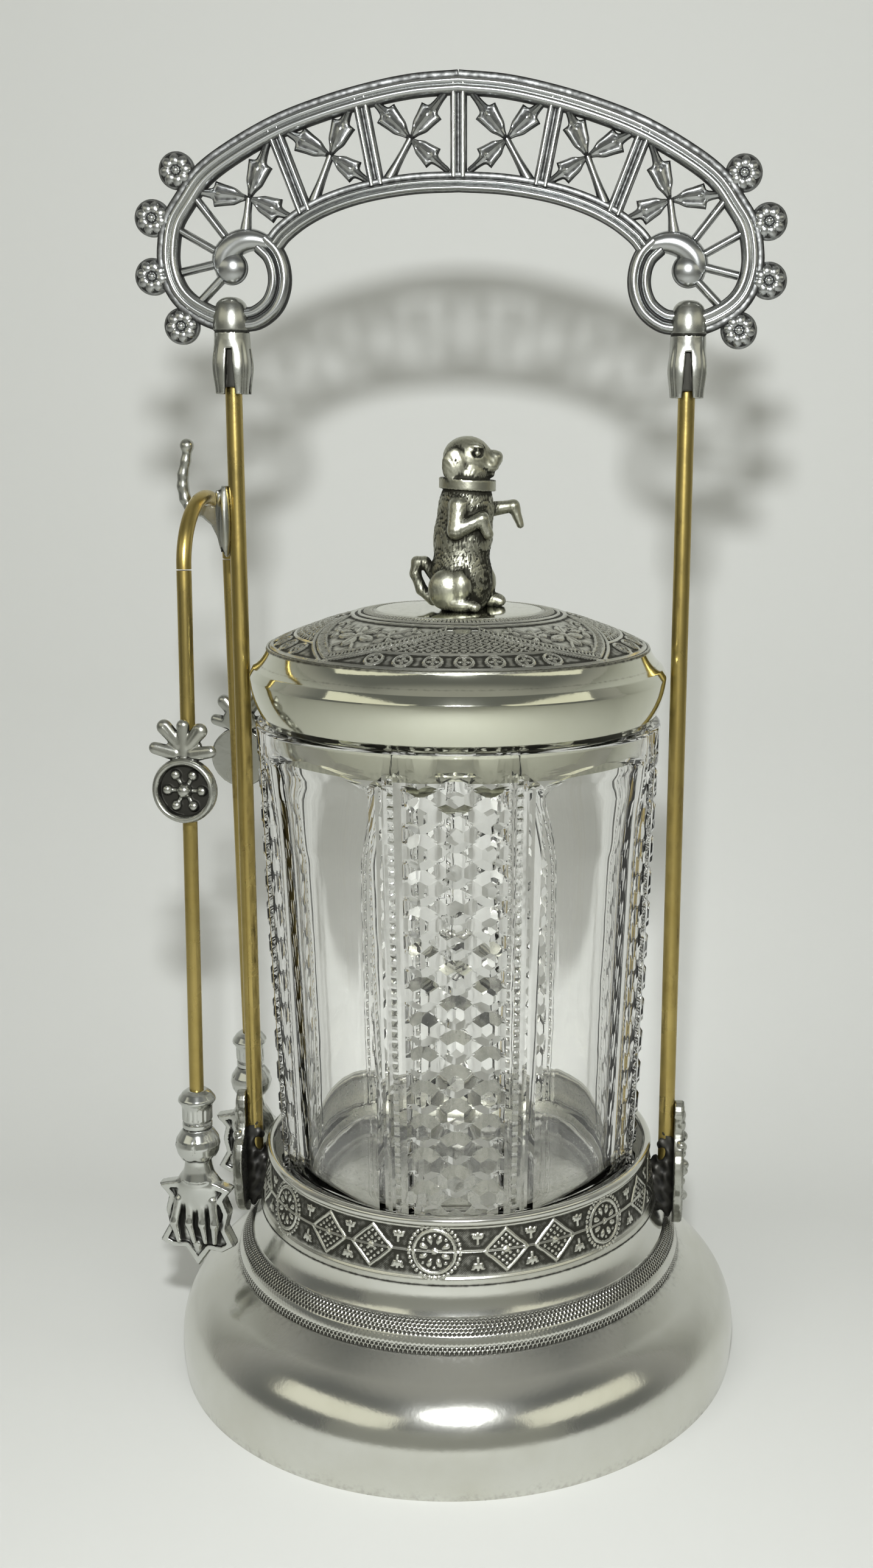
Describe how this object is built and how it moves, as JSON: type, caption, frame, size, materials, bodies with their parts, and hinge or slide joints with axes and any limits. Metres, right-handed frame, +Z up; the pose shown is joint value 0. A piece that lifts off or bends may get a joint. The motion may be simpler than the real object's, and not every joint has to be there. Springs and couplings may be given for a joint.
{
  "type": "pickle castor",
  "caption": "Silver-plated stand with a fixed arched handle, a lift-out pressed-glass jar, a lid with a dog finial, and hanging claw tongs.",
  "frame": {"origin": "centre of the foot's ground ring, on the surface that it stands on", "axes": "+Z up along the jar's axis, +X along the handle towards the rod without the tongs, -Y the front"},
  "size_m": [0.1436, 0.1358, 0.2981],
  "materials": {
    "silver": "polished silver plate, tarnished in the recesses",
    "cast_silver": "cast and plated, dark in the hollows",
    "brass": "worn plate over brass",
    "steel": "plain",
    "solder": "blackened soft solder",
    "glass": "clear pressed glass"
  },
  "bodies": {
    "stand": {"foot": "silver", "deck": "silver", "gallery_band": "silver", "gallery_rim": "silver", "left_rod": "brass", "right_rod": "brass", "left_ferrule": "silver", "right_ferrule": "silver", "left_knop": "silver", "right_knop": "silver", "left_bracket": "cast_silver", "right_bracket": "cast_silver", "left_solder": "solder", "right_solder": "solder", "handle_arch": "cast_silver", "tongs_hook": "cast_silver"},
    "jar": {"jar": "glass"},
    "lid": {"lid": "silver", "dog_finial": "cast_silver", "finial_screw": "steel", "finial_washer": "steel"},
    "tongs_bow": {"tongs_bow": "brass"},
    "front_arm": {"front_arm": "brass", "front_medallion": "cast_silver", "front_claw": "cast_silver"},
    "rear_arm": {"rear_arm": "brass", "rear_medallion": "cast_silver", "rear_claw": "cast_silver"}
  },
  "joints": [
    {"name": "jar_lift", "type": "slide", "parent": "stand", "child": "jar", "axis": [0, 0, 1], "range_m": [0, 0.02]},
    {"name": "lid_lift", "type": "slide", "parent": "jar", "child": "lid", "axis": [0, 0, 1], "range_m": [0, 0.025]},
    {"name": "tongs_lift", "type": "slide", "parent": "stand", "child": "tongs_bow", "axis": [0, 0, 1], "range_m": [0, 0.015]},
    {"name": "front_squeeze", "type": "hinge", "parent": "tongs_bow", "child": "front_arm", "pos_m": [-0.0594, -0.0149, 0.192], "axis": [0.9936, -0.1132, 0], "range_deg": [0, 2.7], "stiffness_Nm_per_rad": 0.4},
    {"name": "rear_squeeze", "type": "hinge", "parent": "tongs_bow", "child": "rear_arm", "pos_m": [-0.056, 0.0149, 0.192], "axis": [0.9936, -0.1132, 0], "range_deg": [-2.7, 0], "stiffness_Nm_per_rad": 0.4}
  ],
  "couplings": [
    {"joint": "rear_squeeze", "follows": "front_squeeze", "ratio": -1}
  ]
}
